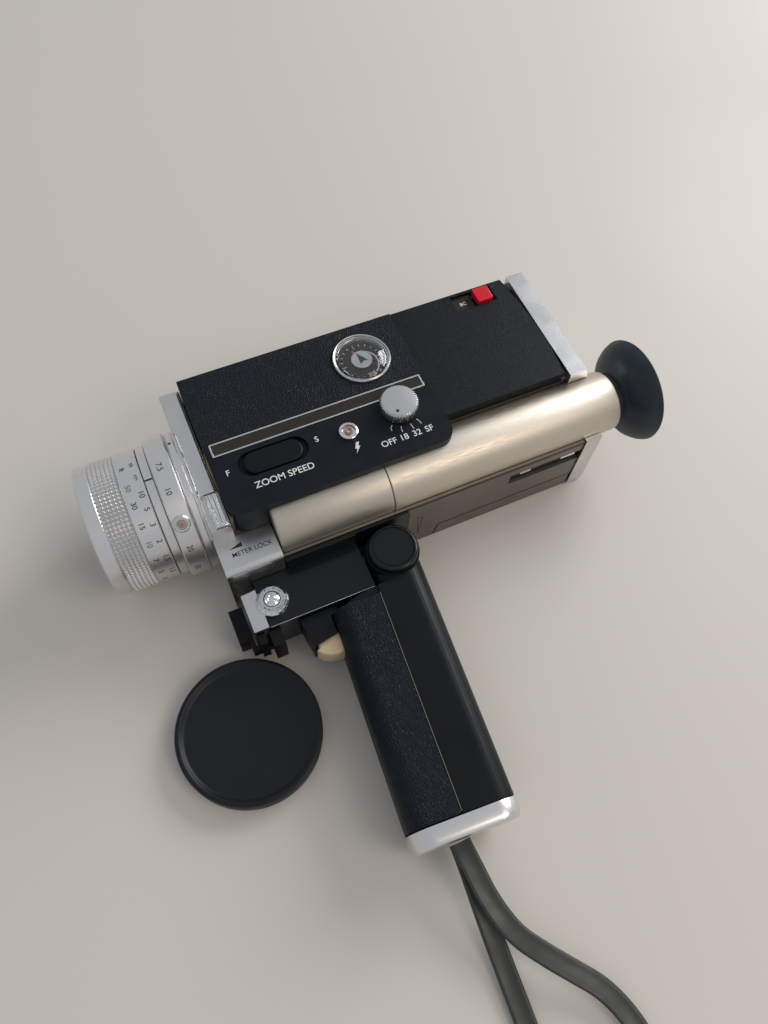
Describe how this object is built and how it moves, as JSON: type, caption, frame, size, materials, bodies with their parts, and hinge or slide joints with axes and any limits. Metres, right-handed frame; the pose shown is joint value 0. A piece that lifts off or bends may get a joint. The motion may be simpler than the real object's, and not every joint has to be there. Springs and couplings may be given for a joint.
{
  "type": "cine camera",
  "caption": "Handheld movie film camera with zoom lens, tubular viewfinder, folding pistol grip, film door, dials, wrist strap and push-on lens cap.",
  "frame": {"origin": "middle of the bottom of the box round the camera, grip and cap, without the strap; it lies on its right side on z = 0", "axes": "+X from the lens to the eyepiece, +Y towards the camera's own top, +Z out of its left side, which faces up"},
  "size_m": [0.2516, 0.3535, 0.0662],
  "materials": {
    "satin_silver": "satin lacquered aluminium, fine grain",
    "champagne_metal": "satin champagne anodised tube",
    "grey_metal": "warm grey satin paint on die casting",
    "chrome": "polished",
    "steel": "brushed",
    "brass": "machined",
    "black_leather": "fine grained leatherette",
    "black_paint": "semi-gloss black",
    "black_plastic": "matt black",
    "black_rubber": "soft, matt, slightly dusty",
    "vinyl": "flexible vinyl strap, soft sheen",
    "red_plastic": "glossy red",
    "cream_plastic": "glossy cream",
    "glass": "polished, coated",
    "board": "laminate with solder mask",
    "cell_wrap": "printed metal can"
  },
  "bodies": {
    "camera_body": {"front_housing": "satin_silver", "body_shell": "grey_metal", "right_cover": "black_leather", "left_front_panel": "black_leather", "left_rear_cover": "black_paint", "rear_plate": "satin_silver", "lens_barrel": "satin_silver", "relay_lens": "glass", "beam_splitter": "glass", "zoom_motor": "steel", "drive_motor": "steel", "film_gate": "steel", "circuit_board": "board", "meter_movement": "black_plastic", "finder_nose": "champagne_metal", "finder_tube": "champagne_metal", "counter_bezel": "chrome", "counter_window": "glass", "name_bar": "satin_silver", "release_jack": "chrome", "grip_arm": "black_paint", "arm_end_plate": "satin_silver", "pivot_bolt": "black_paint"},
    "focus": {"focus_ring": "satin_silver", "front_element": "glass"},
    "zoom": {"zoom_ring": "satin_silver", "zoom_cam_sleeve": "brass"},
    "variator": {"variator_lens": "glass"},
    "zoom_drive": {"zoom_pinion": "brass"},
    "iris": {"iris_ring": "steel"},
    "meter_pointer": {"meter_needle": "steel"},
    "shutter": {"shutter_disc": "steel"},
    "motor_rotor": {"motor_pinion": "brass"},
    "worm_gear": {"worm_wheel": "brass"},
    "takeup": {"takeup_spindle": "steel"},
    "claw": {"film_claw": "steel"},
    "counter": {"counter_hub": "satin_silver"},
    "mode_dial": {"mode_knob": "satin_silver"},
    "zoom_switch": {"zoom_slider": "black_plastic"},
    "battery_check": {"battery_check_button": "red_plastic"},
    "meter_lock": {"meter_lock_slider": "chrome"},
    "release": {"release_button": "chrome"},
    "latch": {"fold_latch": "black_plastic"},
    "dioptre": {"eyepiece_ring": "black_plastic", "eyepiece_lens": "glass", "eyecup": "black_rubber"},
    "door": {"film_door": "grey_metal"},
    "door_catch": {"door_latch": "black_plastic"},
    "handle": {"handle_shell": "black_plastic", "handle_leather": "black_leather", "trigger_housing": "black_plastic", "trigger_switch": "black_plastic"},
    "trigger_key": {"trigger": "cream_plastic"},
    "battery_pack": {"battery_cap": "satin_silver", "battery_cell_1": "cell_wrap", "battery_cell_2": "cell_wrap", "battery_cell_3": "cell_wrap", "battery_cell_4": "cell_wrap", "strap": "vinyl"},
    "loose_cap": {"lens_cap": "black_plastic"}
  },
  "joints": [
    {"name": "focus_turn", "type": "hinge", "parent": "camera_body", "child": "focus", "pos_m": [-0.11125, 0.06631, 0.0323], "axis": [1, 0, 0], "range_deg": [-200, 0]},
    {"name": "zoom_turn", "type": "hinge", "parent": "camera_body", "child": "zoom", "pos_m": [-0.09025, 0.06631, 0.0323], "axis": [1, 0, 0], "range_deg": [-90, 10]},
    {"name": "variator_slide", "type": "slide", "parent": "camera_body", "child": "variator", "axis": [1, 0, 0], "range_m": [-0.002, 0.0165]},
    {"name": "zoom_motor_spin", "type": "hinge", "parent": "camera_body", "child": "zoom_drive", "pos_m": [-0.06725, 0.09511, 0.0323], "axis": [1, 0, 0], "range_deg": [-32, 272]},
    {"name": "iris_turn", "type": "hinge", "parent": "camera_body", "child": "iris", "pos_m": [-0.05025, 0.06631, 0.0323], "axis": [1, 0, 0], "range_deg": [0, 60]},
    {"name": "meter_swing", "type": "hinge", "parent": "camera_body", "child": "meter_pointer", "pos_m": [-0.01855, 0.06341, 0.0323], "axis": [1, 0, 0], "range_deg": [-45, 0], "stiffness_Nm_per_rad": 0.0005},
    {"name": "shutter_spin", "type": "hinge", "parent": "camera_body", "child": "shutter", "pos_m": [0.00875, 0.06981, 0.042], "axis": [1, 0, 0], "continuous": true},
    {"name": "motor_spin", "type": "hinge", "parent": "camera_body", "child": "motor_rotor", "pos_m": [0.00375, 0.08133, 0.042], "axis": [1, 0, 0], "continuous": true},
    {"name": "worm_gear_spin", "type": "hinge", "parent": "camera_body", "child": "worm_gear", "pos_m": [0.02275, 0.08121, 0.042], "axis": [0, 0, 1], "continuous": true},
    {"name": "takeup_spin", "type": "hinge", "parent": "camera_body", "child": "takeup", "pos_m": [0.05014, 0.07541, 0.042], "axis": [0, 0, 1], "continuous": true},
    {"name": "claw_stroke", "type": "slide", "parent": "camera_body", "child": "claw", "axis": [0, 1, 0], "range_m": [-0.004, 0], "stiffness_N_per_m": 50},
    {"name": "counter_turn", "type": "hinge", "parent": "camera_body", "child": "counter", "pos_m": [0.00835, 0.08981, 0.059], "axis": [0, 0, 1], "range_deg": [0, 340]},
    {"name": "mode_turn", "type": "hinge", "parent": "camera_body", "child": "mode_dial", "pos_m": [0.01275, 0.05921, 0.062], "axis": [0, 0, 1], "range_deg": [0, 73]},
    {"name": "zoom_switch_slide", "type": "slide", "parent": "camera_body", "child": "zoom_switch", "axis": [1, 0, 0], "range_m": [-0.002, 0.002], "stiffness_N_per_m": 200},
    {"name": "battery_check_press", "type": "slide", "parent": "camera_body", "child": "battery_check", "axis": [0, 0, 1], "range_m": [-0.0012, 0], "stiffness_N_per_m": 600, "springref_m": 0.0004},
    {"name": "meter_lock_slide", "type": "slide", "parent": "camera_body", "child": "meter_lock", "axis": [1, 0, 0], "range_m": [-0.0016, 0], "stiffness_N_per_m": 300, "springref_m": 0.0004},
    {"name": "release_press", "type": "slide", "parent": "camera_body", "child": "release", "axis": [0, 0, 1], "range_m": [-0.0015, 0], "stiffness_N_per_m": 600, "springref_m": 0.0004},
    {"name": "latch_slide", "type": "slide", "parent": "camera_body", "child": "latch", "axis": [0, 0, 1], "range_m": [0, 0.004], "stiffness_N_per_m": 300, "springref_m": -0.0005},
    {"name": "dioptre_turn", "type": "hinge", "parent": "camera_body", "child": "dioptre", "pos_m": [0.11375, 0.03741, 0.0415], "axis": [1, 0, 0], "range_deg": [-30, 30]},
    {"name": "door_swing", "type": "hinge", "parent": "camera_body", "child": "door", "pos_m": [0.01935, 0.06541, 0.0013], "axis": [0, 1, 0], "range_deg": [0, 100]},
    {"name": "door_catch_slide", "type": "slide", "parent": "door", "child": "door_catch", "axis": [1, 0, 0], "range_m": [-0.0015, 0], "stiffness_N_per_m": 200, "springref_m": 0.0004},
    {"name": "handle_fold", "type": "hinge", "parent": "camera_body", "child": "handle", "pos_m": [-0.01115, 0.00901, 0.018], "axis": [0, 0, 1], "range_deg": [0, 93]},
    {"name": "trigger_pull", "type": "slide", "parent": "handle", "child": "trigger_key", "axis": [1, 0, 0], "range_m": [0, 0.0024], "stiffness_N_per_m": 500, "springref_m": -0.0004},
    {"name": "battery_slide", "type": "slide", "parent": "handle", "child": "battery_pack", "axis": [-0.0767, -0.9971, 0], "range_m": [0, 0.09]},
    {"name": "cap_lift", "type": "slide", "parent": "camera_body", "child": "loose_cap", "axis": [0, 0, 1], "range_m": [0, 0.03]}
  ],
  "couplings": [
    {"joint": "variator_slide", "follows": "zoom_turn", "m_per_rad": -0.0103},
    {"joint": "zoom_motor_spin", "follows": "zoom_turn", "ratio": -3},
    {"joint": "motor_spin", "follows": "shutter_spin", "ratio": -3},
    {"joint": "worm_gear_spin", "follows": "shutter_spin", "ratio": 0.083333},
    {"joint": "takeup_spin", "follows": "shutter_spin", "ratio": -0.033333}
  ]
}
